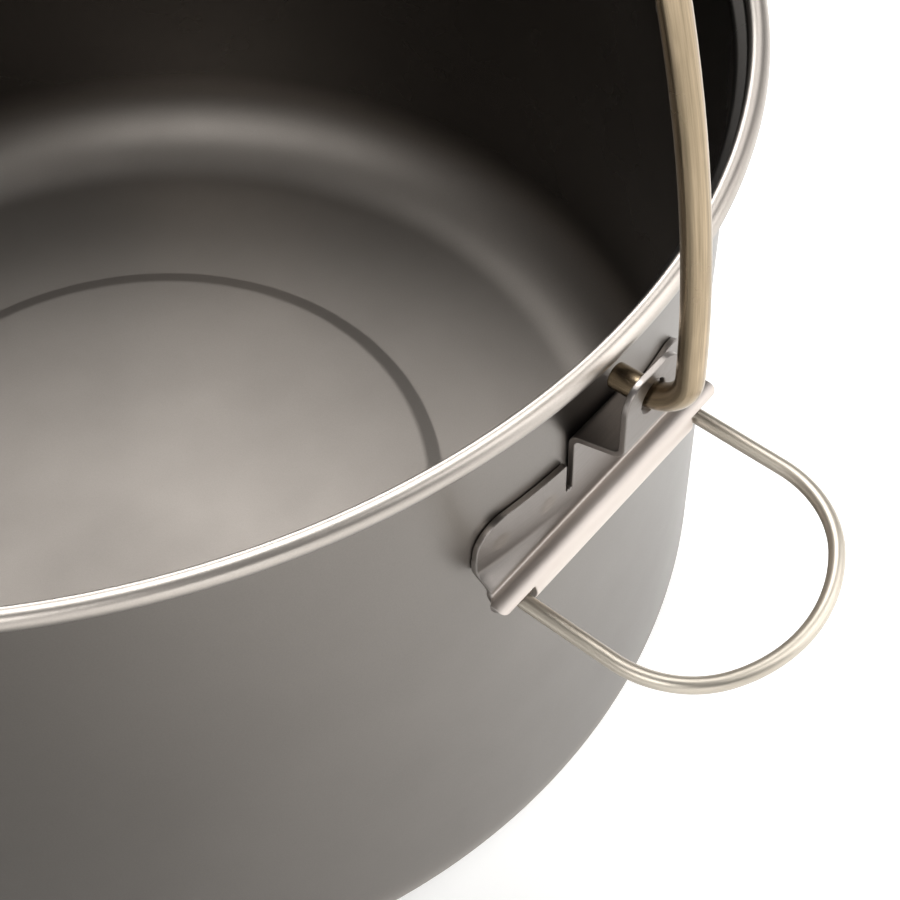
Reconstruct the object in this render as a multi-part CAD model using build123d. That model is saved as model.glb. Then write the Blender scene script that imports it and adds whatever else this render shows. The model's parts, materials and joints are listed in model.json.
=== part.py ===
from build123d import *
import os
from math import asin, cos, degrees, radians, sin, sqrt

# Camping cook pot with a wire bail and two fold-out wire grips.
# Millimetres. Origin: centre of the base, on the surface that the pot stands on.
# +Z up, +X towards the right-hand bracket, so the bail swings about the X direction.

# Pot body: one deep-drawn sheet
POT_SHEET = 0.6
WALL_R = 87.75            # outside of the wall
RIM_R = 90.0              # centre circle of the rolled bead
RIM_Z = 96.7              # height of that circle
BEAD_R = 1.2              # outside radius of the rolled bead
BEAD_TURN = 280           # degrees of sheet in the bead
CORNER_R = 13.8           # outside of the bottom corner
FLARE_START = 3.0         # the wall starts to flare this far under the bead centre
FLARE_END = 1.25
FLARE_BEND = 1.6
PANEL_R = 47.5            # raised centre panel of the floor
PANEL_STEP = 0.7
PANEL_SLOPE = 2.5         # width of the sloped ring around the panel
PANEL_BEND = 3.0

# Bracket: one stamped sheet, welded to the wall
SHEET = 0.8
WELD_GAP = 0.03           # between the wall and the middle of the bracket
WING_HALF = 19.0
WING_TOP = RIM_Z - 15.65
WING_CORNER = 4.2
WING_R = 89.0             # inside radius of the wings, a little flatter than the wall
WING_SPARE = 0.5          # sheet outside the final outline, before it is cut
LEAST_BOW = 0.004         # bow of a section that is all but straight
BLEND_STEPS = 5           # from the wall's curve to the straight barrel
SLIT = 0.9
SLIT_BOTTOM = RIM_Z - 20.2
BLEND_TOP = RIM_Z - 22.0
CUT_LENGTH = 120.0        # reaches right through the bracket
TONGUE_HALF = 4.75
TONGUE_ROOT = RIM_Z - 12.3
TONGUE_BEND = 1.3         # to the middle of the sheet
TONGUE_LAP = 0.3          # the tongue runs this far into the sheet under the slits
LUG_X = 94.8              # outer face of the upright end of the tongue
LUG_BOTTOM = RIM_Z - 10.6
LUG_TOP = RIM_Z - 1.0
LUG_CORNER = 2.9
WELD_Y = (8.6, 15.6)      # spot welds on each wing
WELD_Z = RIM_Z - 19.4
WELD_R = 1.1
WELD_DEPTH = 0.13

# Hinge barrel, rolled from the bracket's lower edge
BARREL_X = 89.75
BARREL_Z = RIM_Z - 26.0
BARREL_IN = 1.05
BARREL_OUT = BARREL_IN + SHEET
BARREL_HALF = 20.3
BARREL_TURN = 240         # degrees from the top of the roll to its free edge
VALLEY_R = 0.2            # outer face of the tight bend between wings and barrel
SLOT_Y = 14.9             # the roll is cut away outside this, to free the arms
SLOT_LIFT = 1.02          # and under this height over the barrel's axis
SLOT_BOX = (12.0, 8.0)    # across the barrel and down

VALLEY_X = WALL_R + WELD_GAP + SHEET + VALLEY_R
VALLEY_LEAN = asin((BARREL_X - VALLEY_X) / (BARREL_OUT + VALLEY_R))
VALLEY_Z = BARREL_Z + (BARREL_OUT + VALLEY_R) * cos(VALLEY_LEAN)

# D-shaped grip
GRIP_WIRE = 0.95
GRIP_HALF = 16.5
GRIP_ARM = 13.0           # straight part of each arm, from the hinge axis
GRIP_REACH = 27.0
GRIP_CORNER = 13.0
GRIP_BEND = 1.5
GRIP_PIVOT_END = 8.0
GRIP_DROOP = 3.0          # degrees under level at rest

# Bail
BAIL_WIRE = 1.5
BAIL_Z = RIM_Z - 4.8      # hinge axis, through both tongues
BAIL_HOLE = 2.1
BAIL_LEG_X = 98.8
BAIL_BEND = 5.5
BAIL_LEG_RISE = 4.0       # from the hinge axis up to the widest place of the legs
BAIL_END_X = 89.9
BAIL_SIDE_R = 176.0
BAIL_CROWN_R = 90.0


def turn_of(before, point, after):
    """Turn at a point of a path: positive to the left."""
    first = (Vector(point) - Vector(before)).normalized()
    second = (Vector(after) - Vector(point)).normalized()
    return first, second, first.X * second.Y - first.Y * second.X


def beside(points, radii, distance):
    """The same path moved to its left by a distance, with its radii to match."""
    moved = []
    new_radii = []
    last = len(points) - 1
    for i, point in enumerate(points):
        before = points[i - 1] if i > 0 else None
        after = points[i + 1] if i < last else None
        if before is None or after is None:
            pair = (point, after) if before is None else (before, point)
            run = (Vector(pair[1]) - Vector(pair[0])).normalized()
            moved.append(Vector(point) + Vector(-run.Y, run.X) * distance)
            continue
        first, second, turn = turn_of(before, point, after)
        mitre = (Vector(-first.Y, first.X) + Vector(-second.Y, second.X)).normalized()
        reach = distance / (mitre.X * -first.Y + mitre.Y * first.X)
        moved.append(Vector(point) + mitre * reach)
        new_radii.append(radii[i - 1] - distance if turn > 0 else radii[i - 1] + distance)
    return [(p.X, p.Y) for p in moved], new_radii


def ring_of(*groups):
    """Closed face from edges that meet end to end."""
    edges = [edge for group in groups for edge in group.edges()]
    return make_face(Wire.combine(edges)[0])


def sheet_section(points, radii, thickness):
    """Section of bent sheet: a path, its parallel on the left and two cut ends."""
    far_points, far_radii = beside(points, radii, thickness)
    near = FilletPolyline(*points, radius=radii)
    far = FilletPolyline(*far_points, radius=far_radii)
    start = Line(points[0], far_points[0])
    end = Line(points[-1], far_points[-1])
    return ring_of(near, start, far, end)


def pot_body():
    """Floor, corner, wall, flare and rolled bead, turned about Z."""
    core_r = BEAD_R - POT_SHEET
    throat_x = RIM_R - core_r
    skin = [
        (0, PANEL_STEP),
        (PANEL_R, PANEL_STEP),
        (PANEL_R + PANEL_SLOPE, 0),
        (WALL_R, 0),
        (WALL_R, RIM_Z - FLARE_START),
        (throat_x, RIM_Z - FLARE_END),
        (throat_x, RIM_Z),
    ]
    bends = [PANEL_BEND, PANEL_BEND, CORNER_R, FLARE_BEND, FLARE_BEND]
    inside, inside_bends = beside(skin, bends, POT_SHEET)
    edge = radians(180 - BEAD_TURN)
    edge_line = Line(
        (RIM_R + core_r * cos(edge), RIM_Z + core_r * sin(edge)),
        (RIM_R + BEAD_R * cos(edge), RIM_Z + BEAD_R * sin(edge)),
    )
    section = ring_of(
        FilletPolyline(*skin, radius=bends),
        CenterArc((RIM_R, RIM_Z), core_r, 180, -BEAD_TURN),
        edge_line,
        CenterArc((RIM_R, RIM_Z), BEAD_R, 180, -BEAD_TURN),
        FilletPolyline(*inside, radius=inside_bends),
        Line(skin[0], inside[0]),
    )
    return revolve(Plane.XZ * section, Axis.Z)


def wing_section(height, bow):
    """Level section of the wing sheet, bowed back by bow at its two ends."""
    front = WALL_R + WELD_GAP + SHEET
    back = front - SHEET
    tip = WING_HALF + WING_SPARE
    outline = Wire([
        ThreePointArc((front - bow, -tip), (front, 0), (front - bow, tip)),
        Line((front - bow, tip), (back - bow, tip)),
        ThreePointArc((back - bow, tip), (back, 0), (back - bow, -tip)),
        Line((back - bow, -tip), (front - bow, -tip)),
    ])
    return Pos(0, 0, height) * make_face(outline)


def wings():
    """Sheet that follows the wall and straightens towards the barrel."""
    tip = WING_HALF + WING_SPARE
    full_bow = WING_R - sqrt(WING_R**2 - tip**2)
    sections = []
    for i in range(BLEND_STEPS + 1):
        part = i / BLEND_STEPS
        ease = part * part * (3 - 2 * part)
        height = BLEND_TOP + (VALLEY_Z - BLEND_TOP) * part
        sections.append(wing_section(height, full_bow * (1 - ease) + LEAST_BOW))
    top_section = wing_section(BLEND_TOP, full_bow + LEAST_BOW)
    return extrude(top_section, WING_TOP - BLEND_TOP) + loft(sections)


def blank_outline():
    """Flat shape of the wings, seen from outside, with the two slits."""
    middle = (WING_TOP + BARREL_Z) / 2
    face = Pos(0, middle) * Rectangle(2 * WING_HALF, WING_TOP - BARREL_Z)
    face = fillet(face.vertices().group_by(Axis.Y)[-1], WING_CORNER)
    slit = Pos(0, CUT_LENGTH / 2) * Rectangle(SLIT, CUT_LENGTH) + Circle(SLIT / 2)
    for side in (-1, 1):
        face -= Pos(side * (TONGUE_HALF + SLIT / 2), SLIT_BOTTOM + SLIT / 2) * slit
    return face


def from_side(sketch):
    """Place a sketch drawn in (Y, Z) so that it faces +X."""
    return Plane.YZ * sketch


def tongue():
    """Centre tongue: up the wall, out along a shelf and up again as the bail's lug."""
    front = WALL_R + WELD_GAP + SHEET
    spine = [
        (front, SLIT_BOTTOM - TONGUE_LAP),
        (front, TONGUE_ROOT),
        (LUG_X, LUG_BOTTOM),
        (LUG_X, LUG_TOP),
    ]
    bends = [TONGUE_BEND - SHEET / 2, TONGUE_BEND + SHEET / 2]
    body = extrude(Plane.XZ * sheet_section(spine, bends, SHEET), TONGUE_HALF, both=True)
    tips = body.edges().filter_by(Axis.X).group_by(Axis.Z)[-1]
    body = fillet(tips, LUG_CORNER)
    hole = Pos(LUG_X, 0, BAIL_Z) * Rot(0, 90, 0) * Cylinder(BAIL_HOLE, 4 * SHEET)
    return body - hole


def barrel():
    """Tight bend and roll, straight along Y, with both arm slots cut."""
    front = VALLEY_X - VALLEY_R
    lean = degrees(VALLEY_LEAN)
    edge = radians(90 - BARREL_TURN)
    section = ring_of(
        CenterArc((VALLEY_X, VALLEY_Z), VALLEY_R, 180, 90 + lean),
        CenterArc((BARREL_X, BARREL_Z), BARREL_OUT, 90 + lean, -BARREL_TURN - lean),
        Line(
            (BARREL_X + BARREL_OUT * cos(edge), BARREL_Z + BARREL_OUT * sin(edge)),
            (BARREL_X + BARREL_IN * cos(edge), BARREL_Z + BARREL_IN * sin(edge)),
        ),
        CenterArc((BARREL_X, BARREL_Z), BARREL_IN, 90 + lean, -BARREL_TURN - lean),
        CenterArc((VALLEY_X, VALLEY_Z), VALLEY_R + SHEET, 180, 90 + lean),
        Line((front - SHEET, VALLEY_Z), (front, VALLEY_Z)),
    )
    roll = extrude(Plane.XZ * section, BARREL_HALF, both=True)
    width, height = SLOT_BOX
    length = BARREL_HALF - SLOT_Y + WING_SPARE
    spare = BARREL_HALF - WING_HALF + WING_SPARE
    for side in (-1, 1):
        middle = side * (SLOT_Y + length / 2)
        roll -= Pos(BARREL_X, middle, BARREL_Z + SLOT_LIFT - height / 2) * Box(width, length, height)
        beside_wing = Pos(VALLEY_X - width / 2, side * (WING_HALF + spare / 2), VALLEY_Z)
        roll -= beside_wing * Box(width, spare, height)
    return roll


def bracket():
    """The whole stamping for the +X side."""
    sheet = wings() & extrude(from_side(blank_outline()), CUT_LENGTH)
    body = sheet + tongue() + barrel()
    front = WALL_R + WELD_GAP + SHEET
    ball_r = (WELD_R**2 + WELD_DEPTH**2) / (2 * WELD_DEPTH)
    for y in WELD_Y:
        surface = front - (WING_R + SHEET) + sqrt((WING_R + SHEET)**2 - y**2)
        for side in (-1, 1):
            body -= Pos(surface + ball_r - WELD_DEPTH, side * y, WELD_Z) * Sphere(ball_r)
    return body


def round_wire(path, radius, start, direction):
    """Wire of one radius swept along a path."""
    section = Plane(origin=start, z_dir=direction) * Circle(radius)
    return sweep(section, path=path)


def along_mid(centre, first, last, radius):
    """Point halfway round an arc from direction first to direction last."""
    return centre + (first + last).normalized() * radius


def grip_path():
    """Centre line of the D in the XY plane, the hinge axis along Y through the origin."""
    depth = GRIP_REACH - GRIP_ARM
    inset = GRIP_HALF - GRIP_CORNER
    crown = (inset**2 + depth**2 - GRIP_CORNER**2) / (2 * (depth - GRIP_CORNER))
    centre_x = GRIP_REACH - crown
    along = Vector(GRIP_ARM - centre_x, inset).normalized()
    joint = Vector(GRIP_ARM, inset) + along * GRIP_CORNER
    mid = along_mid(Vector(GRIP_ARM, inset), Vector(0, 1), along, GRIP_CORNER)
    half = [
        Line((0, GRIP_PIVOT_END), (0, GRIP_HALF - GRIP_BEND)),
        CenterArc((GRIP_BEND, GRIP_HALF - GRIP_BEND), GRIP_BEND, 180, -90),
        Line((GRIP_BEND, GRIP_HALF), (GRIP_ARM, GRIP_HALF)),
        ThreePointArc((GRIP_ARM, GRIP_HALF), (mid.X, mid.Y), (joint.X, joint.Y)),
    ]
    crown_arc = ThreePointArc((joint.X, joint.Y), (GRIP_REACH, 0), (joint.X, -joint.Y))
    other = [edge.mirror(Plane.XZ) for edge in half]
    return Wire([*half, crown_arc, *other])


def grip_loop():
    """D-shaped grip for the +X side, drooped to its rest angle."""
    wire = round_wire(grip_path(), GRIP_WIRE, (0, GRIP_PIVOT_END, 0), (0, 1, 0))
    return Pos(BARREL_X, 0, BARREL_Z) * Rot(0, GRIP_DROOP, 0) * wire


def bail_path():
    """Centre line of the bail in the XZ plane, from one inner end to the other."""
    side_x = BAIL_LEG_X - BAIL_SIDE_R
    leg_z = BAIL_Z + BAIL_LEG_RISE
    rise = BAIL_BEND - BAIL_LEG_RISE
    bend_x = side_x + sqrt((BAIL_SIDE_R - BAIL_BEND) ** 2 - rise**2)
    bend_turn = asin(rise / (BAIL_SIDE_R - BAIL_BEND))
    start = Vector(cos(bend_turn), sin(bend_turn))
    gap = BAIL_SIDE_R - BAIL_CROWN_R
    crown_z = leg_z + sqrt(gap**2 - side_x**2)
    along = Vector(-side_x, crown_z - leg_z).normalized()
    joint = Vector(side_x, leg_z) + along * BAIL_SIDE_R
    leg = Vector(side_x, leg_z) + start * BAIL_SIDE_R
    mid = along_mid(Vector(side_x, leg_z), start, along, BAIL_SIDE_R)
    half = [
        Line((BAIL_END_X, BAIL_Z), (bend_x, BAIL_Z)),
        CenterArc((bend_x, BAIL_Z + BAIL_BEND), BAIL_BEND, -90, 90 + degrees(bend_turn)),
        ThreePointArc((leg.X, leg.Y), (mid.X, mid.Y), (joint.X, joint.Y)),
    ]
    crown_arc = ThreePointArc(
        (joint.X, joint.Y), (0, crown_z + BAIL_CROWN_R), (-joint.X, joint.Y)
    )
    other = [edge.mirror(Plane.YZ) for edge in half]
    return Plane.XZ * Wire([*half, crown_arc, *other])


def bail():
    """Bent wire bail, upright."""
    return round_wire(bail_path(), BAIL_WIRE, (BAIL_END_X, 0, BAIL_Z), (1, 0, 0))


def main():
    os.makedirs("parts", exist_ok=True)
    half_turn = Rot(0, 0, 180)
    right_bracket = bracket()
    right_grip = grip_loop()
    nodes = {
        "pot_body": pot_body(),
        "bracket_right": right_bracket,
        "bracket_left": half_turn * right_bracket,
        "grip_loop_right": right_grip,
        "grip_loop_left": half_turn * right_grip,
        "bail": bail(),
    }
    for name, shape in nodes.items():
        export_step(shape, f"parts/{name}.step")


main()
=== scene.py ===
import json
import math

import bmesh
import bpy
from mathutils import Matrix, Vector


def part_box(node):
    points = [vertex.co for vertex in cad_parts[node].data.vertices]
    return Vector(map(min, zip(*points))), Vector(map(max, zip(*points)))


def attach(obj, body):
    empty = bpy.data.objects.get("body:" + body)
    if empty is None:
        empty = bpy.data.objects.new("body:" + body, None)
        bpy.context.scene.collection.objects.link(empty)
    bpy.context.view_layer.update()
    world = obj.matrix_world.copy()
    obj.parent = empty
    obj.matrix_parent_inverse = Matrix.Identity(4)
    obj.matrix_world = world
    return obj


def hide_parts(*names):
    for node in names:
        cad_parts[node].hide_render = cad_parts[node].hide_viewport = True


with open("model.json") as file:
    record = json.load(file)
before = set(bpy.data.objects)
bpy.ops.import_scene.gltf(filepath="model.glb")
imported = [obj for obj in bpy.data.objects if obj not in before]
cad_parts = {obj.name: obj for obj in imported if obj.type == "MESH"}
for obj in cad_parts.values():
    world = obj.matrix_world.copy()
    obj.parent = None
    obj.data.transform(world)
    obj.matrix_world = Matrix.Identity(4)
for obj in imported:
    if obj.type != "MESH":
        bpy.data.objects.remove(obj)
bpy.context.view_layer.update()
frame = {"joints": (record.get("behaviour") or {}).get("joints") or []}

MM = 0.001

# Pot, a deep-drawn sheet
POT_SHEET = 0.6 * MM
BEAD_R = 1.2 * MM
BEAD_TURN = 280           # degrees
RIM_OVER_WALL = 2.25 * MM
FLARE_START = 3.0 * MM
FLARE_END = 1.25 * MM
FLARE_BEND = 1.6 * MM
CORNER_R = 13.8 * MM
PANEL_R = 47.5 * MM
PANEL_SLOPE = 2.5 * MM
PANEL_STEP = 0.7 * MM
PANEL_BEND = 3.0 * MM

# Bracket, a stamped sheet
SHEET = 0.8 * MM
WELD_GAP = 0.03 * MM
EDGE_R = 0.13 * MM        # deburred edges
WING_HALF = 19.0 * MM
WING_CORNER = 4.2 * MM
WING_R = 89.8 * MM
WING_UNDER_RIM = 15.65 * MM
SLIT = 0.9 * MM
SLIT_UNDER_RIM = 20.2 * MM
BLEND_UNDER_RIM = 22.0 * MM
TONGUE_HALF = 4.75 * MM
TONGUE_UNDER_RIM = 12.3 * MM
TONGUE_BENDS = (0.9 * MM, 1.7 * MM)
LUG_UNDER_RIM = 10.6 * MM
LUG_CORNER = 2.9 * MM
BAIL_HOLE = 2.1 * MM
BARREL_OUT = 1.85 * MM
BARREL_TURN = 240         # degrees, from the top of the roll to its free edge
BARREL_CORNER = 1.0 * MM
BARREL_EAR = 0.5 * MM     # slope of the edge from the wing to the roll's end
VALLEY_R = 0.2 * MM
SLOT_Y = 14.9 * MM
SLOT_LIFT = 1.02 * MM
WELD_Y = (8.6 * MM, 15.6 * MM)
WELD_UNDER_RIM = 19.4 * MM
WELD_R = 1.1 * MM
WELD_DEPTH = 0.05 * MM

# Grips
GRIP_WIRE = 0.95 * MM
GRIP_HALF = 16.5 * MM
GRIP_ARM = 13.0 * MM
GRIP_REACH = 27.0 * MM
GRIP_CORNER = 13.0 * MM
GRIP_BEND = 1.5 * MM
GRIP_PIVOT_END = 8.0 * MM
GRIP_DROOP = 3.0          # degrees

# Bail
BAIL_WIRE = 1.5 * MM
BAIL_BEND = 5.5 * MM
BAIL_LEG_RISE = 4.0 * MM  # from the hinge axis up to the widest place of the legs
BAIL_END_X = 89.9 * MM
BAIL_SIDE_R = 176.0 * MM
BAIL_CROWN_R = 90.0 * MM
WIRE_EDGE = 0.28 * MM     # rounded edge of a cut wire end

# Fineness of the meshes
POT_SIDES = 288
WIRE_SIDES = 36
HOLE_SIDES = 48
CUT_STRAIGHT = 0.3 * MM   # gaps between the cuts that let the flat stamping bend
CUT_VALLEY = 0.06 * MM
CUT_ROLL = 0.17 * MM
CUT_WELD = 0.2 * MM
CUT_BOW = 1.5 * MM
BOW_HALF = 18.0 * MM

# Places, from the frame
pot_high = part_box("pot_body")[1]
bracket_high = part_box("bracket_right")[1]
hinge = {joint["name"]: Vector(joint["pos_m"]) for joint in frame["joints"]}
RIM_R = pot_high.y - BEAD_R
RIM_Z = pot_high.z - BEAD_R
WALL_R = RIM_R - RIM_OVER_WALL
WING_FRONT = WALL_R + WELD_GAP + SHEET
BARREL_HALF = bracket_high.y
LUG_X = bracket_high.x
LUG_TOP = bracket_high.z
BARREL = hinge["grip_hinge_right"]
BAIL_Z = hinge["bail_hinge"].z
BAIL_LEG_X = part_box("bail")[1].x - BAIL_WIRE


# ---------------------------------------------------------------- paths

def left_of(run):
    """A flat direction turned a quarter to its left."""
    return Vector((-run.y, run.x))


def evenly(first, last, gap):
    """Values from first to last, about a gap apart."""
    count = max(1, round((last - first) / gap))
    return [first + (last - first) * i / count for i in range(count + 1)]


def bent_path(points, radii, step=5.0):
    """(point, left-hand normal) pairs along straight runs joined by arcs; step in degrees.

    The radii are those of the arcs, one for each point between the first and the last."""
    points = [Vector(p) for p in points]
    runs = [(b - a).normalized() for a, b in zip(points, points[1:])]
    samples = [(points[0], left_of(runs[0]))]
    for corner, radius, before, after in zip(points[1:-1], radii, runs, runs[1:]):
        turn = math.atan2(before.x * after.y - before.y * after.x, before.dot(after))
        side = math.copysign(1.0, turn)
        start = corner - before * radius * math.tan(abs(turn) / 2)
        centre = start + left_of(before) * radius * side
        count = max(2, math.ceil(math.degrees(abs(turn)) / step))
        for i in range(count + 1):
            normal = Matrix.Rotation(turn * i / count, 2) @ left_of(before)
            samples.append((centre - normal * radius * side, normal))
    samples.append((points[-1], left_of(runs[-1])))
    return samples


def arc(centre, radius, first, turn, step):
    """(point, left-hand normal) pairs round an arc; angles in degrees, a right turn is negative."""
    count = math.ceil(abs(turn) / step)
    samples = []
    for i in range(count + 1):
        angle = math.radians(first + turn * i / count)
        outward = Vector((math.cos(angle), math.sin(angle)))
        samples.append((Vector(centre) + outward * radius, outward if turn < 0 else -outward))
    return samples


def mirrored(half, flip):
    """The other half of a symmetric path; flip is (-1, 1) or (1, -1)."""
    def across(v):
        return Vector((v.x * flip[0], v.y * flip[1]))
    return [(across(p), across(n)) for p, n in reversed(half)]


# ---------------------------------------------------------------- meshes

def new_piece(name, verts, faces, body, node, material):
    """Smooth mesh that stands for a CAD node and moves with its body."""
    mesh = bpy.data.meshes.new(name)
    mesh.from_pydata(verts, [], faces)
    mesh.polygons.foreach_set("use_smooth", [True] * len(mesh.polygons))
    mesh.materials.append(material)
    piece = bpy.data.objects.new(name, mesh)
    bpy.context.collection.objects.link(piece)
    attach(piece, body)
    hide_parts(node)
    return piece


def add_grain(piece, vectors):
    """Coordinates along the metal, in metres, which the grain of a drawn or rolled surface follows."""
    grain = piece.data.attributes.new("grain", "FLOAT_VECTOR", "POINT")
    grain.data.foreach_set("vector", [c for v in vectors for c in v])


def lathe(outline, count):
    """Vertices and faces of a solid turned about Z in count steps.

    The outline starts and ends on the axis."""
    rings = outline[1:-1]
    verts = [Vector((0, 0, outline[0].y))]
    for p in rings:
        for k in range(count):
            angle = 2 * math.pi * k / count
            verts.append(Vector((p.x * math.cos(angle), p.x * math.sin(angle), p.y)))
    verts.append(Vector((0, 0, outline[-1].y)))
    last = len(verts) - 1
    top = last - count
    faces = []
    for k in range(count):
        n = (k + 1) % count
        faces += [(0, 1 + n, 1 + k), (last, top + k, top + n)]
        for low in range(1, top, count):
            faces.append((low + k, low + n, low + count + n, low + count + k))
    return verts, faces


def tube(path, radius):
    """Vertices, faces and grain of a round wire along a flat path, with rounded cut ends."""
    def ahead(normal):
        return Vector((normal.y, -normal.x))
    sides = WIRE_SIDES
    soft = [(1 - math.cos(a), 1 - math.sin(a)) for a in (0, math.pi / 6, math.pi / 3, math.pi / 2)]
    path = [path[0]] + [b for a, b in zip(path, path[1:]) if (b[0] - a[0]).length > 1e-3 * MM]
    first, last = path[0], path[-1]
    rings = [(first[0] + ahead(first[1]) * WIRE_EDGE * a, first[1], radius - WIRE_EDGE * r)
             for a, r in soft]
    rings += [(p, n, radius) for p, n in path[1:-1]]
    rings += [(last[0] - ahead(last[1]) * WIRE_EDGE * a, last[1], radius - WIRE_EDGE * r)
              for a, r in reversed(soft)]
    verts, grain, faces = [], [], []
    along = 0.0
    for i, (centre, normal, ring_r) in enumerate(rings):
        along += (centre - rings[i - 1][0]).length if i else 0.0
        for k in range(sides):
            angle = 2 * math.pi * k / sides
            flat = centre + normal * ring_r * math.cos(angle)
            verts.append(Vector((flat.x, flat.y, ring_r * math.sin(angle))))
            grain.append((ring_r * math.cos(angle), ring_r * math.sin(angle), along))
    for i in range(len(rings) - 1):
        for k in range(sides):
            n = (k + 1) % sides
            low, high = i * sides, (i + 1) * sides
            faces.append((low + k, low + n, high + n, high + k))
    faces.append(tuple(reversed(range(sides))))
    faces.append(tuple(range(len(verts) - sides, len(verts))))
    return verts, faces, grain


# ---------------------------------------------------------------- pot, grips and bail

def pot_outline():
    """The sheet's section as (radius, height): its outer skin, then its inner skin back."""
    core = BEAD_R - POT_SHEET
    throat = RIM_R - core
    skin = bent_path(
        [(0, PANEL_STEP), (PANEL_R, PANEL_STEP), (PANEL_R + PANEL_SLOPE, 0), (WALL_R, 0),
         (WALL_R, RIM_Z - FLARE_START), (throat, RIM_Z - FLARE_END), (throat, RIM_Z)],
        [PANEL_BEND, PANEL_BEND, CORNER_R, FLARE_BEND, FLARE_BEND], step=4.0)
    skin = skin[:-1] + arc((RIM_R, RIM_Z), core, 180, -BEAD_TURN, step=10.0)
    return [p for p, n in skin] + [p + n * POT_SHEET for p, n in reversed(skin)]


def grip_path():
    """The D in its own plane, the hinge axis along Y."""
    corner_y = GRIP_HALF - GRIP_CORNER
    depth = GRIP_REACH - GRIP_ARM
    crown_r = (corner_y**2 + depth**2 - GRIP_CORNER**2) / (2 * (depth - GRIP_CORNER))
    crown_x = GRIP_REACH - crown_r
    meet = math.degrees(math.atan2(corner_y, GRIP_ARM - crown_x))
    half = [(Vector((0, GRIP_PIVOT_END)), Vector((-1, 0)))]
    half += arc((GRIP_BEND, GRIP_HALF - GRIP_BEND), GRIP_BEND, 180, -90, step=7.0)
    half += arc((GRIP_ARM, corner_y), GRIP_CORNER, 90, meet - 90, step=3.0)
    crown = arc((crown_x, 0), crown_r, meet, -2 * meet, step=3.0)
    return half + crown + mirrored(half, (1, -1))


def bail_path():
    """The bail in its own plane, as (X, Z)."""
    side_x = BAIL_LEG_X - BAIL_SIDE_R
    leg_z = BAIL_Z + BAIL_LEG_RISE
    rise = BAIL_BEND - BAIL_LEG_RISE
    bend_x = side_x + math.sqrt((BAIL_SIDE_R - BAIL_BEND)**2 - rise**2)
    bend_turn = math.degrees(math.asin(rise / (BAIL_SIDE_R - BAIL_BEND)))
    crown_z = leg_z + math.sqrt((BAIL_SIDE_R - BAIL_CROWN_R)**2 - side_x**2)
    meet = math.degrees(math.atan2(crown_z - leg_z, -side_x))
    half = [(Vector((BAIL_END_X, BAIL_Z)), Vector((0, 1)))]
    half += arc((bend_x, BAIL_Z + BAIL_BEND), BAIL_BEND, -90, 90 + bend_turn, step=6.0)
    half += arc((side_x, leg_z), BAIL_SIDE_R, bend_turn, meet - bend_turn, step=1.0)
    crown = arc((0, crown_z), BAIL_CROWN_R, meet, 180 - 2 * meet, step=2.0)
    return half + crown + mirrored(half, (-1, 1))


# ---------------------------------------------------------------- bracket

SLIT_Z = RIM_Z - SLIT_UNDER_RIM
VALLEY_X = WING_FRONT + VALLEY_R
VALLEY_LEAN = math.asin((BARREL.x - VALLEY_X) / (BARREL_OUT + VALLEY_R))
VALLEY_Z = BARREL.z + (BARREL_OUT + VALLEY_R) * math.cos(VALLEY_LEAN)
RUN_STRAIGHT = SLIT_Z - VALLEY_Z
ROLL_START = RUN_STRAIGHT + VALLEY_R * (math.pi / 2 + VALLEY_LEAN)
HOOD_TURN = math.pi / 2 - math.asin(SLOT_LIFT / BARREL_OUT)
HOOD_INNER_TURN = math.pi / 2 - math.asin(SLOT_LIFT / (BARREL_OUT - SHEET + 0.001 * MM))
HOOD_RUN = ROLL_START + BARREL_OUT * (VALLEY_LEAN + HOOD_TURN)
ROLL_END = ROLL_START + BARREL_OUT * (VALLEY_LEAN + math.radians(BARREL_TURN))
WING_RISE = SLIT_UNDER_RIM - WING_UNDER_RIM
TONGUE = bent_path(
    [(WING_FRONT, SLIT_Z), (WING_FRONT, RIM_Z - TONGUE_UNDER_RIM),
     (LUG_X, RIM_Z - LUG_UNDER_RIM), (LUG_X, LUG_TOP)], TONGUE_BENDS, step=8.0)
TONGUE_RUN = [0.0]
for (a, _), (b, _) in zip(TONGUE, TONGUE[1:]):
    TONGUE_RUN.append(TONGUE_RUN[-1] + (b - a).length)


def wing_bow(y, height):
    """How far the wing has fallen back from its middle, and its slope there."""
    blend_z = RIM_Z - BLEND_UNDER_RIM
    part = min(1.0, max(0.0, (blend_z - height) / (blend_z - VALLEY_Z)))
    share = 1 - part * part * (3 - 2 * part)
    return share * (WING_R - math.sqrt(WING_R**2 - y**2)), share * y / WING_R


def tongue_place(up):
    """(x, z) and outward normal on the tongue's front, a distance up from the slits' ends."""
    i = max(k for k, run in enumerate(TONGUE_RUN[:-1]) if run <= up or k == 0)
    share = (up - TONGUE_RUN[i]) / (TONGUE_RUN[i + 1] - TONGUE_RUN[i])
    (p, n), (q, m) = TONGUE[i], TONGUE[i + 1]
    return p.lerp(q, share), -(n.lerp(m, share)).normalized()


def lower_place(y, down, depth):
    """(x, z) and outward normal below the slits' ends: wing, valley and roll."""
    if down <= RUN_STRAIGHT:
        height = SLIT_Z - down
        return Vector((WING_FRONT - wing_bow(y, height)[0], height)), Vector((1, 0))
    if down <= ROLL_START:
        angle = math.pi + (down - RUN_STRAIGHT) / VALLEY_R
        inward = Vector((math.cos(angle), math.sin(angle)))
        return Vector((VALLEY_X, VALLEY_Z)) + inward * VALLEY_R, -inward
    turn = (down - ROLL_START) / BARREL_OUT - VALLEY_LEAN
    if abs(y) > SLOT_Y + EDGE_R and turn > 0:
        turn *= 1 + (HOOD_INNER_TURN / HOOD_TURN - 1) * depth / SHEET
    outward = Vector((math.sin(turn), math.cos(turn)))
    return Vector((BARREL.x, BARREL.z)) + outward * BARREL_OUT, outward


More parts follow.
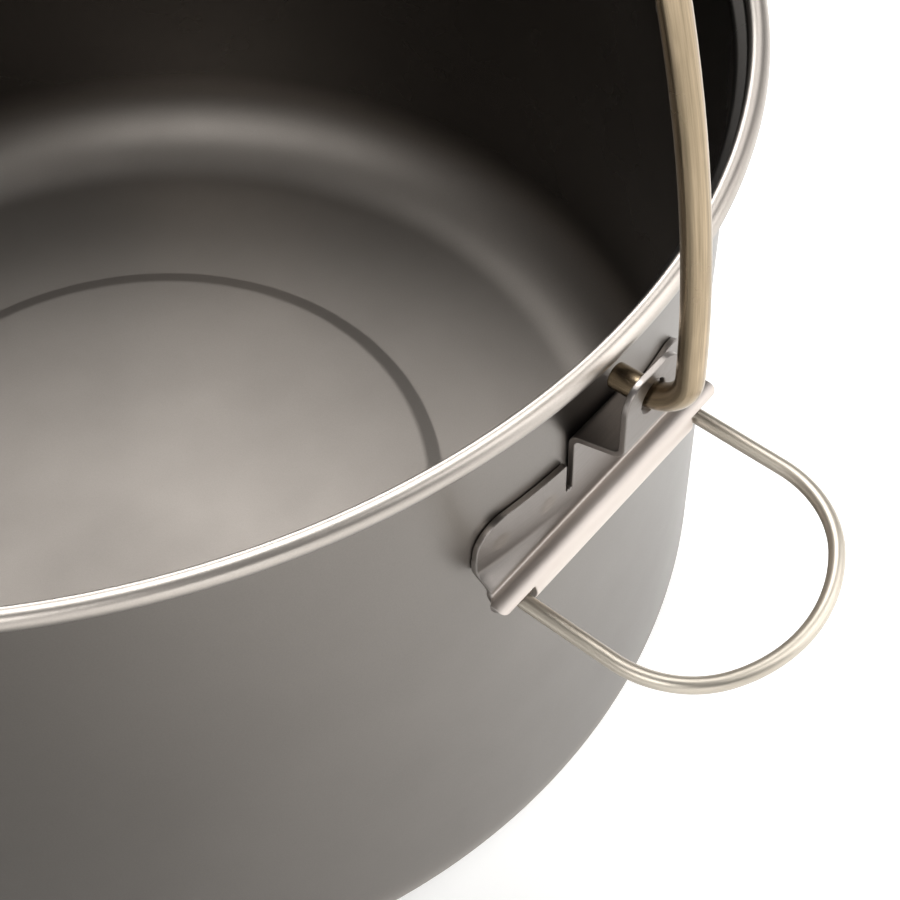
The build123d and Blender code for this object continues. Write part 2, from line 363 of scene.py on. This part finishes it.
def weld_dimple(y, up):
    """Depth of the spot welds' marks in the front face."""
    above = up - SLIT_UNDER_RIM + WELD_UNDER_RIM
    off = min(math.hypot(abs(y) - weld_y, above) for weld_y in WELD_Y)
    return WELD_DEPTH * max(0.0, 1 - (off / WELD_R)**2)


def bracket_place(y, up, depth):
    """Point of the stamping: y along the hinge, up the sheet, depth behind its front face."""
    if up > 0 and abs(y) < TONGUE_HALF + SLIT / 2:
        place, normal = tongue_place(up)
    elif up > 0:
        height = SLIT_Z + up
        back, slope = wing_bow(y, height)
        out = Vector((1, slope, 0)).normalized()
        return Vector((WING_FRONT - back, y, height)) - out * depth
    else:
        place, normal = lower_place(y, -up, depth)
    return Vector((place.x - normal.x * depth, y, place.y - normal.y * depth))


def blank_outline():
    """The flat stamping as (y, up), anticlockwise, and the middle of the bail's hole."""
    def bow(y, up, radius, first, turn, count):
        angles = [math.radians(first + turn * i / count) for i in range(count + 1)]
        return [Vector((y + radius * math.cos(a), up + radius * math.sin(a))) for a in angles]
    top = TONGUE_RUN[-1]
    half = [Vector((SLOT_Y, -ROLL_END)), Vector((SLOT_Y, -HOOD_RUN))]
    half += bow(BARREL_HALF - BARREL_CORNER, BARREL_CORNER - HOOD_RUN, BARREL_CORNER, -90, 90, 8)
    half += [Vector((BARREL_HALF, -ROLL_START - BARREL_EAR)), Vector((WING_HALF, -RUN_STRAIGHT))]
    half += bow(WING_HALF - WING_CORNER, WING_RISE - WING_CORNER, WING_CORNER, 0, 90, 14)
    half += [Vector((TONGUE_HALF + SLIT, WING_RISE))]
    half += bow(TONGUE_HALF + SLIT / 2, SLIT / 2, SLIT / 2, 0, -180, 12)
    half += bow(TONGUE_HALF - LUG_CORNER, top - LUG_CORNER, LUG_CORNER, 0, 90, 14)
    other = [Vector((-p.x, p.y)) for p in reversed(half)]
    return half + other, Vector((0, top - (LUG_TOP - BAIL_Z)))


def inset(loop, distance):
    """A closed outline moved to its left."""
    moved = []
    for before, point, after in zip(loop[-1:] + loop[:-1], loop, loop[1:] + loop[:1]):
        n, m = left_of((point - before).normalized()), left_of((after - point).normalized())
        moved.append(point + (n + m) * distance / (1 + n.dot(m)))
    return moved


def flat_blank():
    """The stamping's flat face, inset by the edge radius and cut fine where it bends."""
    outline, hole = blank_outline()
    hole_r = BAIL_HOLE + EDGE_R
    angles = [-2 * math.pi * k / HOLE_SIDES for k in range(HOLE_SIDES)]
    ring = [hole + Vector((math.cos(a), math.sin(a))) * hole_r for a in angles]
    flat = bmesh.new()
    for loop in (inset(outline, EDGE_R), ring):
        verts = [flat.verts.new((p.x, p.y, 0)) for p in loop]
        for a, b in zip(verts, verts[1:] + verts[:1]):
            flat.edges.new((a, b))
    bmesh.ops.triangle_fill(flat, use_beauty=True, edges=flat.edges[:], normal=(0, 0, 1))

    def cut(place, normal):
        whole = flat.verts[:] + flat.edges[:] + flat.faces[:]
        bmesh.ops.bisect_plane(flat, geom=whole, dist=1e-4 * MM, plane_co=place, plane_no=normal)

    ups = [-down for down in evenly(0, RUN_STRAIGHT, CUT_STRAIGHT)]
    ups += [-down for down in evenly(RUN_STRAIGHT, ROLL_START, CUT_VALLEY)]
    ups += [-down for down in evenly(ROLL_START, ROLL_END, CUT_ROLL)]
    ups += TONGUE_RUN[1:-1]
    weld_up = SLIT_UNDER_RIM - WELD_UNDER_RIM
    ups += evenly(weld_up - WELD_R, weld_up + WELD_R, CUT_WELD)
    for up in ups:
        cut((0, up, 0), (0, 1, 0))
    ys = evenly(-BOW_HALF, BOW_HALF, CUT_BOW)
    for weld_y in WELD_Y:
        for side in (-1, 1):
            ys += evenly(side * weld_y - WELD_R, side * weld_y + WELD_R, CUT_WELD)
    ys += [side * (SLOT_Y + EDGE_R) for side in (-1, 1)]
    for y in ys:
        cut((y, 0, 0), (1, 0, 0))
    return flat


def bracket_mesh():
    """Vertices, faces and grain of the stamping, for the +X side.

    The flat face is folded twice, as the front and the back, and rounded edges join the two."""
    flat = flat_blank()
    flat.verts.index_update()
    places = [(v.co.x, v.co.y) for v in flat.verts]
    count = len(places)
    coords = [(y, up, weld_dimple(y, up)) for y, up in places]
    coords += [(y, up, SHEET) for y, up in places]
    faces = []
    for face in flat.faces:
        ring = [v.index for v in face.verts]
        if face.normal.z < 0:
            ring.reverse()
        faces.append(tuple(ring))
        faces.append(tuple(i + count for i in reversed(ring)))
    rim = {}
    edges = []
    for edge in flat.edges:
        if len(edge.link_faces) != 1:
            continue
        loop = edge.link_loops[0]
        a, b = loop.vert, loop.link_loop_next.vert
        if edge.link_faces[0].normal.z < 0:
            a, b = b, a
        out = -left_of((b.co.xy - a.co.xy).normalized())
        edges.append((a.index, b.index))
        for v in (a, b):
            rim.setdefault(v.index, []).append(out)
    angles = (math.pi / 6, math.pi / 3, math.pi / 2)
    rounds = [(math.sin(a), 1 - math.cos(a)) for a in angles]
    bands = [(o * EDGE_R, d * EDGE_R) for o, d in rounds]
    bands += [(o, SHEET - d) for o, d in reversed(bands)]
    chain = {}
    for i, outs in rim.items():
        n, m = outs[0], outs[-1]
        push = (n + m) / (1 + n.dot(m))
        y, up = places[i]
        chain[i] = [i]
        for out, depth in bands:
            chain[i].append(len(coords))
            coords.append((y + push.x * out, up + push.y * out, depth))
        chain[i].append(i + count)
    for a, b in edges:
        for k in range(len(bands) + 1):
            faces.append((chain[a][k], chain[a][k + 1], chain[b][k + 1], chain[b][k]))
    flat.free()
    return [bracket_place(*c) for c in coords], faces, coords


# ---------------------------------------------------------------- materials

# A scale is in noise cells per metre. A tone is a gain on the metal's colour.
PIT_SCALE = 5200.0
CLOUD_SCALE = 26.0
ROLLED_SCALE = 3400.0
LINE_SCALE = 5200.0
BAND_SCALE = 900.0
PATCH_SCALE = 160.0
ALONG_BARREL = (0.04, 1.0, 1.0)   # stretches that draw a noise out along the metal
ALONG_WIRE_LINES = (1.0, 1.0, 0.012)
ALONG_WIRE_BANDS = (1.0, 1.0, 0.05)
ALONG_WIRE_PATCHES = (1.0, 1.0, 0.35)
# Painted light and shade: the inner wall darker, the pot's bottom lighter, painted highlights on the
# bead and on the barrel's roll
INNER_WALL_PAINTED_SHADE = 0.5
POT_BOTTOM_PAINTED_LIGHT = 1.6
BEAD_PAINTED_HIGHLIGHT = 2.7
BARREL_PAINTED_HIGHLIGHT = 2.9
EDGE_TONE = 1.3
PIT_TONE = 0.84
ROLLED_TONE = 0.88
LINE_TONE = 0.72
PATCH_TONE = 1.12
HEAT_TINT = (0.85, 0.72, 0.52)
HEAT_SHARE = 0.2
BEAD_WORN = 0.04          # added roughness
BARREL_WORN = 0.2
EDGE_SHINE = 0.08         # taken off the roughness
PIT_DEPTH = 0.006 * MM
STAMPED_PIT_DEPTH = 0.005 * MM
ROLLED_DEPTH = 0.003 * MM
LINE_DEPTH = 0.006 * MM
WHITE = (1.0, 1.0, 1.0, 1.0)
BLACK = (0.0, 0.0, 0.0, 1.0)


class Nodes:
    """Short calls for one material's node tree."""

    def __init__(self, name):
        self.material = bpy.data.materials.new(name)
        self.material.use_nodes = True
        self.tree = self.material.node_tree
        self.shader = self.tree.nodes["Principled BSDF"]

    def put(self, kind, inputs=(), **settings):
        node = self.tree.nodes.new(kind)
        for key, value in settings.items():
            setattr(node, key, value)
        for key, value in dict(inputs).items():
            self.feed(node.inputs[key], value)
        return node

    def feed(self, socket, value):
        if isinstance(value, bpy.types.NodeSocket):
            self.tree.links.new(value, socket)
        else:
            socket.default_value = value

    def shade(self, **inputs):
        for key, value in inputs.items():
            self.feed(self.shader.inputs[key.replace("_", " ")], value)

    def noise(self, place, scale, detail, rough):
        inputs = {"Vector": place, "Scale": scale, "Detail": detail, "Roughness": rough}
        return self.put("ShaderNodeTexNoise", inputs).outputs["Fac"]

    def spread(self, value, low, high, from_low=0.3, from_high=0.7, smooth=False):
        """Low to high as the value goes over its range, which is by default that of a noise."""
        inputs = {"Value": value, "From Min": from_low, "From Max": from_high,
                  "To Min": low, "To Max": high}
        kind = "SMOOTHSTEP" if smooth else "LINEAR"
        node = self.put("ShaderNodeMapRange", inputs, interpolation_type=kind)
        return node.outputs["Result"]

    def vector(self, kind, a, b=(0.0, 0.0, 0.0)):
        return self.put("ShaderNodeVectorMath", {0: a, 1: b}, operation=kind).outputs

    def stretch(self, place, scale):
        return self.vector("MULTIPLY", place, scale)["Vector"]

    def blend(self, share, a, b):
        """Colour a, or b where the share is 1."""
        node = self.put("ShaderNodeMix", data_type="RGBA")
        for index, value in ((0, share), (6, a), (7, b)):
            self.feed(node.inputs[index], value)
        return node.outputs[2]

    def math(self, kind, a, b=0.0):
        return self.put("ShaderNodeMath", {0: a, 1: b}, operation=kind).outputs[0]

    def bump(self, height, distance, below=None):
        inputs = {"Height": height, "Distance": distance, "Strength": 1.0}
        if below:
            inputs["Normal"] = below
        return self.put("ShaderNodeBump", inputs).outputs[0]


def tone(colour, gain):
    """The colour made lighter or darker, with alpha."""
    return (*[min(1.0, c * gain) for c in colour], 1.0)


def blasted(name, colour, rough, inner_rough, floor_rough):
    """Bead-blasted sheet: cloudy tone, fine pitted grain, painted shade on the inner wall, a coarser
    floor with painted light, and a worn bead with a painted highlight.
    """
    n = Nodes(name)
    coordinates = n.put("ShaderNodeTexCoord").outputs
    place = coordinates["Object"]
    height = n.put("ShaderNodeSeparateXYZ", {0: place}).outputs[2]
    level = n.stretch(place, (1.0, 1.0, 0.0))
    outward = n.vector("DOT_PRODUCT", coordinates["Normal"], level)["Value"]
    # Shares of the wall's outer side, of all above the bottom corner, and of the bead; they place the
    # painted shade, the painted light and the painted highlight as well as the roughness zones
    outer = n.spread(outward, 0.0, 1.0, -WALL_R * 0.6, -WALL_R * 0.2, smooth=True)
    above = n.spread(height, 0.0, 1.0, CORNER_R * 0.5, CORNER_R * 1.2, smooth=True)
    worn_and_highlit = n.spread(height, 0.0, 1.0, RIM_Z - BEAD_R, RIM_Z + BEAD_R * 0.6, smooth=True)
    cloud = n.noise(place, CLOUD_SCALE, 4.0, 0.6)
    grain = n.noise(place, PIT_SCALE, 3.0, 0.6)
    # Painted shade darkens the inner wall, painted light lightens the bottom and a painted highlight
    # lightens the bead
    shade = n.blend(outer, tone(colour, INNER_WALL_PAINTED_SHADE), tone(colour, 1.0))
    shade = n.blend(above, tone(colour, POT_BOTTOM_PAINTED_LIGHT), shade)
    shade = n.blend(worn_and_highlit, shade, tone(colour, BEAD_PAINTED_HIGHLIGHT))
    shade = n.blend(n.spread(cloud, 0.0, 0.1), shade, BLACK)
    shade = n.blend(n.spread(grain, 0.0, 0.08), shade, BLACK)
    n.shade(Base_Color=shade, Metallic=1.0)
    wall_rough = n.spread(outer, inner_rough, rough, 0.0, 1.0)
    zone_rough = n.spread(above, floor_rough, wall_rough, 0.0, 1.0)
    cloudy = n.math("ADD", zone_rough, n.spread(cloud, -0.02, 0.03))
    n.shade(Roughness=n.math("ADD", cloudy, n.math("MULTIPLY", worn_and_highlit, BEAD_WORN)))
    n.shade(Normal=n.bump(grain, PIT_DEPTH))
    return n.material


def stamped(name, colour, rough):
    """Blasted sheet: rolled grain, bright sheared edges, a worn barrel with a painted highlight and
    heat tint at the welds.
    """
    n = Nodes(name)
    grain_place = n.put("ShaderNodeAttribute", attribute_name="grain").outputs["Vector"]
    y, up, depth = n.put("ShaderNodeSeparateXYZ", {0: grain_place}).outputs
    place = n.put("ShaderNodeTexCoord").outputs["Object"]
    height = n.put("ShaderNodeSeparateXYZ", {0: place}).outputs[2]
    worn_and_highlit = n.spread(height, 1.0, 0.0, VALLEY_Z - 0.5 * MM, VALLEY_Z + 0.5 * MM, smooth=True)
    pits = n.noise(place, PIT_SCALE, 3.0, 0.6)
    rolled = n.noise(n.stretch(grain_place, ALONG_BARREL), ROLLED_SCALE, 3.0, 0.6)
    off_middle = n.math("ABSOLUTE", n.math("SUBTRACT", depth, SHEET / 2))
    edge = n.spread(off_middle, 1.0, 0.0, SHEET / 2 - EDGE_R, SHEET / 2 - 0.02 * MM, smooth=True)
    rings = []
    for weld_y in WELD_Y:
        aside = n.math("SUBTRACT", n.math("ABSOLUTE", y), weld_y)
        above = n.math("SUBTRACT", up, SLIT_UNDER_RIM - WELD_UNDER_RIM)
        off = n.put("ShaderNodeCombineXYZ", {0: aside, 1: above})
        length = n.vector("LENGTH", off.outputs[0])["Value"]
        rings.append(n.spread(length, 1.0, 0.0, WELD_R * 0.5, WELD_R * 1.6, smooth=True))
    heated = n.math("MULTIPLY", n.math("MAXIMUM", *rings), HEAT_SHARE)
    heat = (*[c * share for c, share in zip(colour, HEAT_TINT)], 1.0)
    matt = n.blend(n.spread(pits, 0.0, 0.5), tone(colour, 1.0), tone(colour, PIT_TONE))
    matt = n.blend(n.spread(rolled, 0.0, 0.35), matt, tone(colour, ROLLED_TONE))
    matt = n.blend(heated, matt, heat)
    # Painted highlight: the barrel's roll below the valley is made much lighter
    matt = n.blend(worn_and_highlit, matt, tone(colour, BARREL_PAINTED_HIGHLIGHT))
    n.shade(Base_Color=n.blend(edge, matt, tone(colour, EDGE_TONE)), Metallic=1.0)
    even = n.spread(rolled, rough - 0.03, rough + 0.04)
    even = n.math("SUBTRACT", even, n.math("MULTIPLY", edge, EDGE_SHINE))
    n.shade(Roughness=n.math("ADD", even, n.math("MULTIPLY", worn_and_highlit, BARREL_WORN)))
    n.shade(Normal=n.bump(rolled, ROLLED_DEPTH, n.bump(pits, STAMPED_PIT_DEPTH)))
    return n.material


def drawn(name, colour, dark, rough, streak):
    """Drawn wire: fine lengthwise lines, slow changes of tone and a few rubbed patches."""
    n = Nodes(name)
    place = n.put("ShaderNodeAttribute", attribute_name="grain").outputs["Vector"]
    lines = n.noise(n.stretch(place, ALONG_WIRE_LINES), LINE_SCALE, 4.0, 0.62)
    bands = n.noise(n.stretch(place, ALONG_WIRE_BANDS), BAND_SCALE, 3.0, 0.55)
    patches = n.noise(n.stretch(place, ALONG_WIRE_PATCHES), PATCH_SCALE, 3.0, 0.6)
    shade = n.blend(n.spread(bands, 0.0, 1.0), (*colour, 1.0), (*dark, 1.0))
    shade = n.blend(n.spread(lines, 0.0, streak), shade, tone(dark, LINE_TONE))
    shade = n.blend(n.spread(patches, 0.0, 0.45, 0.5, 0.75), shade, tone(colour, PATCH_TONE))
    n.shade(Base_Color=shade, Metallic=1.0)
    n.shade(Roughness=n.spread(patches, rough + 0.05, rough - 0.04))
    n.shade(Normal=n.bump(lines, LINE_DEPTH))
    return n.material


# ---------------------------------------------------------------- stage

FLOOR_PALE = (0.86, 0.86, 0.85, 1.0)
FLOOR_SHADE = (0.54, 0.54, 0.53, 1.0)
FLOOR_ROUGH = 0.9
FLOOR_GLOW = 0.5
SHADE_AT = (0.045, -0.165, 0.0)   # the middle of the soft shade in front of the pot
SHADE_R = (0.04, 0.19)            # the shade fades out between these distances from there
FLAT_R = 5.0
SWEEP_R = 2.5
FLOOR_SIDES = 72
SWEEP_STEPS = 12

# The softboxes near the floor are far off, and large to match
FAR_BOX = {"side": 1.87, "distance": 4.0}
WORLD_STRENGTH = 0.02

CAMERA_AT = (0.1585, -0.1073, 0.23485)
CAMERA_TURN = (-40.37, 50.74, -2.04)  # heading from +Y, tilt down and roll, in degrees
LENS = 73.9
SENSOR = 36.0


def add_floor():
    """Plain pale floor that sweeps up all round, with a soft painted shadow in front of the pot."""
    n = Nodes("floor")
    place = n.put("ShaderNodeTexCoord").outputs["Object"]
    off = n.vector("DISTANCE", place, SHADE_AT)["Value"]
    # Painted shadow: darker colour and no glow near SHADE_AT
    bright = n.spread(off, 0.0, 1.0, *SHADE_R, smooth=True)
    n.shade(Base_Color=n.blend(bright, FLOOR_SHADE, FLOOR_PALE), Roughness=FLOOR_ROUGH)
    n.shade(Emission_Color=WHITE, Emission_Strength=n.math("MULTIPLY", bright, FLOOR_GLOW))
    count = FLOOR_SIDES
    rings = [(FLAT_R, 0.0)]
    for k in range(1, SWEEP_STEPS + 1):
        angle = math.pi / 2 * k / SWEEP_STEPS
        rings.append((FLAT_R + SWEEP_R * math.sin(angle), SWEEP_R * (1 - math.cos(angle))))
    verts = [(0.0, 0.0, 0.0)]
    for radius, height in rings:
        for k in range(count):
            angle = 2 * math.pi * k / count
            verts.append((radius * math.cos(angle), radius * math.sin(angle), height))
    faces = [(0, 1 + k, 1 + (k + 1) % count) for k in range(count)]
    for low in range(1, SWEEP_STEPS * count, count):
        for k in range(count):
            following = (k + 1) % count
            faces.append((low + k, low + count + k, low + count + following, low + following))
    mesh = bpy.data.meshes.new("floor")
    mesh.from_pydata(verts, [], faces)
    mesh.shade_smooth()
    mesh.materials.append(n.material)
    floor = bpy.data.objects.new("floor", mesh)
    bpy.context.collection.objects.link(floor)


def softbox(name, azimuth, elevation, radiance, side=0.7, distance=1.5):
    """Square soft light that faces the pot; azimuth from +X towards +Y, in degrees."""
    a, e = math.radians(azimuth), math.radians(elevation)
    place = Vector((math.cos(a) * math.cos(e), math.sin(a) * math.cos(e), math.sin(e))) * distance
    data = bpy.data.lights.new(name, "AREA")
    data.shape = "SQUARE"
    data.size = side
    data.energy = radiance * math.pi * side**2
    light = bpy.data.objects.new(name, data)
    light.location = place
    light.visible_camera = False
    light.rotation_euler = (-place).to_track_quat("-Z", "Y").to_euler()
    bpy.context.collection.objects.link(light)


def add_lights():
    """Soft light from behind and above, the right and the front, and far boxes near the floor."""
    softbox("back", 156, 60, 3.0)
    softbox("back_side", 122, 60, 2.8)
    softbox("back_high", 142, 74, 3.6)
    softbox("back_floor", 144, 8, 5.0, **FAR_BOX)
    softbox("right", 42, 42, 3.2, side=1.0)
    softbox("right_floor", 34, 8, 2.2, **FAR_BOX)
    softbox("front_floor", 330, 8, 1.4, **FAR_BOX)
    softbox("front", 290, 42, 4.6)
    world = bpy.data.worlds.new("world")
    world.use_nodes = True
    shade = world.node_tree.nodes["Background"].inputs
    shade["Color"].default_value = WHITE
    shade["Strength"].default_value = WORLD_STRENGTH
    bpy.context.scene.world = world


def add_camera():
    """Close view down into the pot, past its right-hand bracket."""
    data = bpy.data.cameras.new("camera")
    data.sensor_width = SENSOR
    data.lens = LENS
    data.clip_start = 0.01
    heading, tilt, roll = (math.radians(a) for a in CAMERA_TURN)
    ahead = Vector((math.sin(heading) * math.cos(tilt), math.cos(heading) * math.cos(tilt),
                    -math.sin(tilt)))
    right = ahead.cross(Vector((0, 0, 1))).normalized()
    level = Matrix((right, right.cross(ahead), -ahead)).transposed().to_4x4()
    camera = bpy.data.objects.new("camera", data)
    camera.matrix_world = Matrix.Translation(CAMERA_AT) @ level @ Matrix.Rotation(roll, 4, "Z")
    bpy.context.collection.objects.link(camera)
    bpy.context.scene.camera = camera


# ---------------------------------------------------------------- the object

POT_COLOUR = (0.212, 0.193, 0.175)
BRACKET_COLOUR = (0.255, 0.232, 0.215)
GRIP_COLOUR = (0.70, 0.64, 0.55)
GRIP_DARK = (0.48, 0.43, 0.36)
BAIL_COLOUR = (0.58, 0.455, 0.31)
BAIL_DARK = (0.25, 0.195, 0.125)
WALL_ROUGH = 0.34
INNER_ROUGH = 0.27
BASE_ROUGH = 0.54
BRACKET_ROUGH = 0.42
GRIP_ROUGH = 0.40
BAIL_ROUGH = 0.24
GRIP_STREAK = 0.3
BAIL_STREAK = 0.6


def build():
    """The six pieces, each in place of its CAD node."""
    metal = blasted("blasted", POT_COLOUR, WALL_ROUGH, INNER_ROUGH, BASE_ROUGH)
    verts, faces = lathe(pot_outline(), POT_SIDES)
    new_piece("pot_body_visual", verts, faces, "pot", "pot_body", metal)

    thick_wire = drawn("bail_wire", BAIL_COLOUR, BAIL_DARK, BAIL_ROUGH, BAIL_STREAK)
    verts, faces, grain = tube(bail_path(), BAIL_WIRE)
    upright = Matrix.Rotation(math.pi / 2, 4, "X")
    bail = new_piece("bail_visual", [upright @ v for v in verts], faces,
                     "bail", "bail", thick_wire)
    add_grain(bail, grain)

    sheet = stamped("stamped", BRACKET_COLOUR, BRACKET_ROUGH)
    wire = drawn("grip_wire", GRIP_COLOUR, GRIP_DARK, GRIP_ROUGH, GRIP_STREAK)
    bracket_verts, bracket_faces, bracket_grain = bracket_mesh()
    grip_verts, grip_faces, grip_grain = tube(grip_path(), GRIP_WIRE)
    droop = Matrix.Translation(BARREL) @ Matrix.Rotation(math.radians(GRIP_DROOP), 4, "Y")
    for side, turn in (("right", 0.0), ("left", math.pi)):
        about = Matrix.Rotation(turn, 4, "Z")
        bracket = new_piece(f"bracket_{side}_visual", [about @ v for v in bracket_verts], bracket_faces,
                            "pot", f"bracket_{side}", sheet)
        add_grain(bracket, bracket_grain)
        flats = bracket.modifiers.new("flats", "WEIGHTED_NORMAL")
        flats.keep_sharp = True
        grip = new_piece(f"grip_{side}_visual", [about @ droop @ v for v in grip_verts], grip_faces,
                         f"grip_{side}", f"grip_loop_{side}", wire)
        add_grain(grip, grip_grain)


add_camera()
add_lights()
add_floor()
build()
bpy.context.scene.view_settings.view_transform = "Standard"
